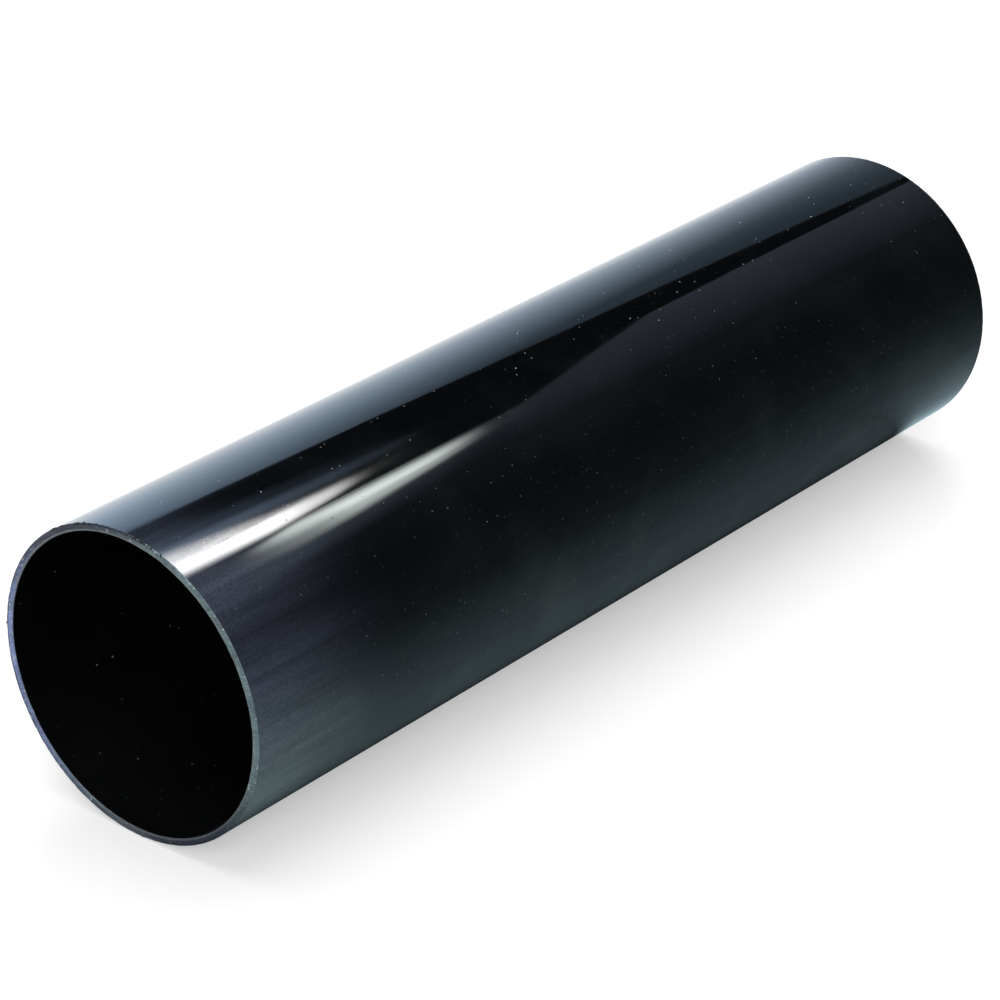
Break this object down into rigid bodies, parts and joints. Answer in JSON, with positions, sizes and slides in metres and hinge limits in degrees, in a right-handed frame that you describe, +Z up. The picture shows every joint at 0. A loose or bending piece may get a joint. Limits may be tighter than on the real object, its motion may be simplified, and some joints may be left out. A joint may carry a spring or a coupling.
{
  "type": "downpipe",
  "caption": "Short length of round black plastic rainwater downpipe, a plain open tube sawn off at both ends.",
  "frame": {"origin": "on the floor, under the middle of the pipe as it lies on its side", "axes": "+Y along the pipe from the mouth that shows in the picture to the far end, +Z up"},
  "size_m": [0.068, 0.25, 0.068],
  "materials": {
    "black_pvc": "gloss extruded skin, matt grey saw cuts"
  },
  "bodies": {
    "root": {"pipe": "black_pvc"}
  },
  "joints": []
}
